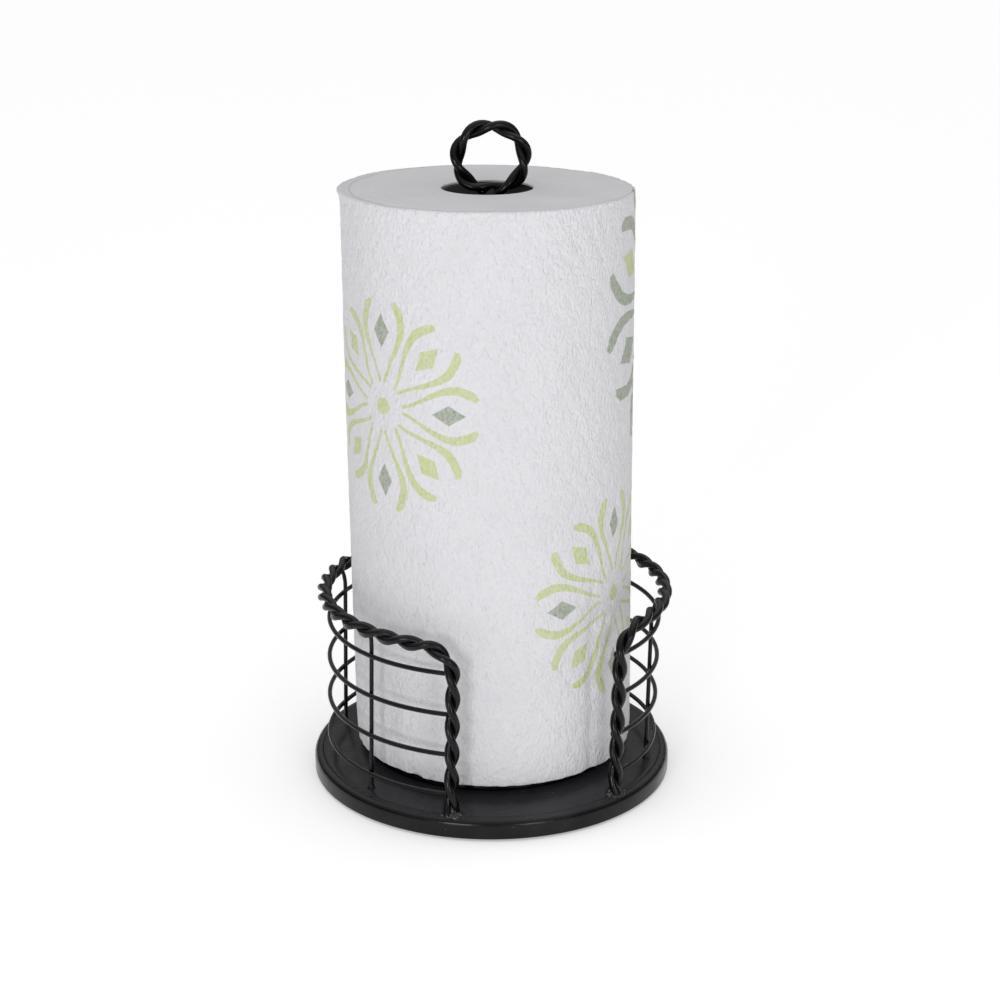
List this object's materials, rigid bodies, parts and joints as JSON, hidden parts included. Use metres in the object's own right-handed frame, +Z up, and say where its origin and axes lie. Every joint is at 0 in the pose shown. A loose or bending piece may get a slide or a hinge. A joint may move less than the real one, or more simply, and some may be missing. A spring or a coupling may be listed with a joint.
{
  "type": "paper towel holder",
  "caption": "Free-standing paper towel holder: pressed steel base, post with a twisted finger ring and a low open-fronted wire cage, loaded with a lift-off paper roll.",
  "frame": {"origin": "middle of the circle that the rubber feet stand on", "axes": "+Z up along the post, -Y to the front, where the gap in the cage is, +X to the right seen from the front"},
  "size_m": [0.182, 0.182, 0.3297],
  "materials": {
    "black_paint": "satin",
    "cover_board": "matte",
    "zinc_steel": "satin",
    "foot_rubber": "matte",
    "core_board": "matte",
    "towel_paper": "matte"
  },
  "bodies": {
    "holder": {"base_pan": "black_paint", "seat_disc": "black_paint", "bottom_cover": "cover_board", "foot_1": "foot_rubber", "foot_2": "foot_rubber", "foot_3": "foot_rubber", "foot_4": "foot_rubber", "post_washer": "zinc_steel", "post_nut": "zinc_steel", "post": "black_paint", "ring_strand_a": "black_paint", "ring_strand_b": "black_paint", "rail_strand_a": "black_paint", "rail_strand_b": "black_paint", "hoop_1": "black_paint", "hoop_2": "black_paint", "hoop_3": "black_paint", "hoop_4": "black_paint", "stay_front_left": "black_paint", "stay_back_left": "black_paint", "stay_back": "black_paint", "stay_back_right": "black_paint", "stay_front_right": "black_paint"},
    "core": {"towel_core": "core_board"},
    "towel": {"towel_roll": "towel_paper"}
  },
  "joints": [
    {"name": "roll_lift", "type": "slide", "parent": "holder", "child": "core", "axis": [0, 0, 1], "range_m": [0, 0.32]},
    {"name": "roll_spin", "type": "hinge", "parent": "core", "child": "towel", "pos_m": [0, 0, 0.158], "axis": [0, 0, 1], "continuous": true}
  ]
}
